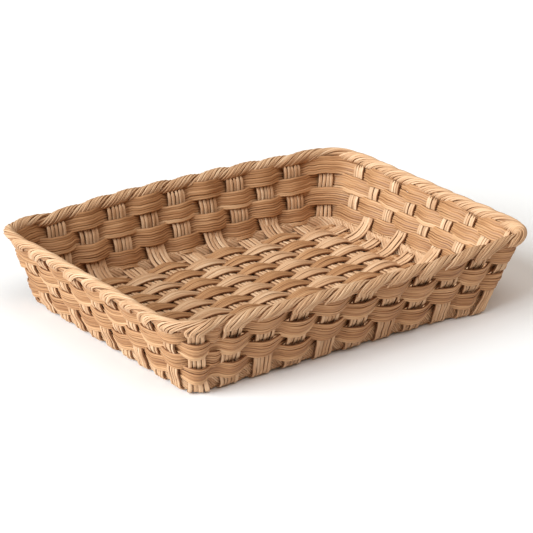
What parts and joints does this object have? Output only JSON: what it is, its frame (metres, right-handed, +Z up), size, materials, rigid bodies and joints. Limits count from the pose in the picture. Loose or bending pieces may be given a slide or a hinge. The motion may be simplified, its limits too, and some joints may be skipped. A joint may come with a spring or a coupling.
{
  "type": "bread basket",
  "caption": "Shallow rectangular woven basket with flared walls, rounded corners, a rolled rope-like rim and a flat foot border, for bread on a table or counter.",
  "frame": {"origin": "on the plane the basket stands on, under the middle of its outline", "axes": "+X along the long walls to the right, +Y from the front wall to the back wall, +Z up out of the mouth"},
  "size_m": [0.4, 0.3, 0.075],
  "materials": {
    "stake_strands": "matt ribbed strands, light tan with darker strands",
    "weaver_strands": "matt ribbed strands, tan to brown",
    "border_strands": "matt ribbed strands, light tan"
  },
  "bodies": {
    "root": {"cross_stake_01": "stake_strands", "cross_stake_02": "stake_strands", "cross_stake_03": "stake_strands", "cross_stake_04": "stake_strands", "cross_stake_05": "stake_strands", "cross_stake_06": "stake_strands", "cross_stake_07": "stake_strands", "cross_stake_08": "stake_strands", "cross_stake_09": "stake_strands", "long_stake_01": "stake_strands", "long_stake_02": "stake_strands", "long_stake_03": "stake_strands", "long_stake_04": "stake_strands", "long_stake_05": "stake_strands", "long_stake_06": "stake_strands", "long_stake_07": "stake_strands", "long_stake_08": "stake_strands", "long_stake_09": "stake_strands", "corner_stake_front_left": "stake_strands", "corner_stake_front_right": "stake_strands", "corner_stake_back_right": "stake_strands", "corner_stake_back_left": "stake_strands", "floor_weaver_01": "weaver_strands", "floor_weaver_02": "weaver_strands", "floor_weaver_03": "weaver_strands", "floor_weaver_04": "weaver_strands", "floor_weaver_05": "weaver_strands", "floor_weaver_06": "weaver_strands", "floor_weaver_07": "weaver_strands", "floor_weaver_08": "weaver_strands", "floor_weaver_09": "weaver_strands", "weaver_row_1": "weaver_strands", "weaver_row_2": "weaver_strands", "weaver_row_3": "weaver_strands", "weaver_row_4": "weaver_strands", "rim_border": "border_strands", "foot_border": "border_strands"}
  },
  "joints": []
}
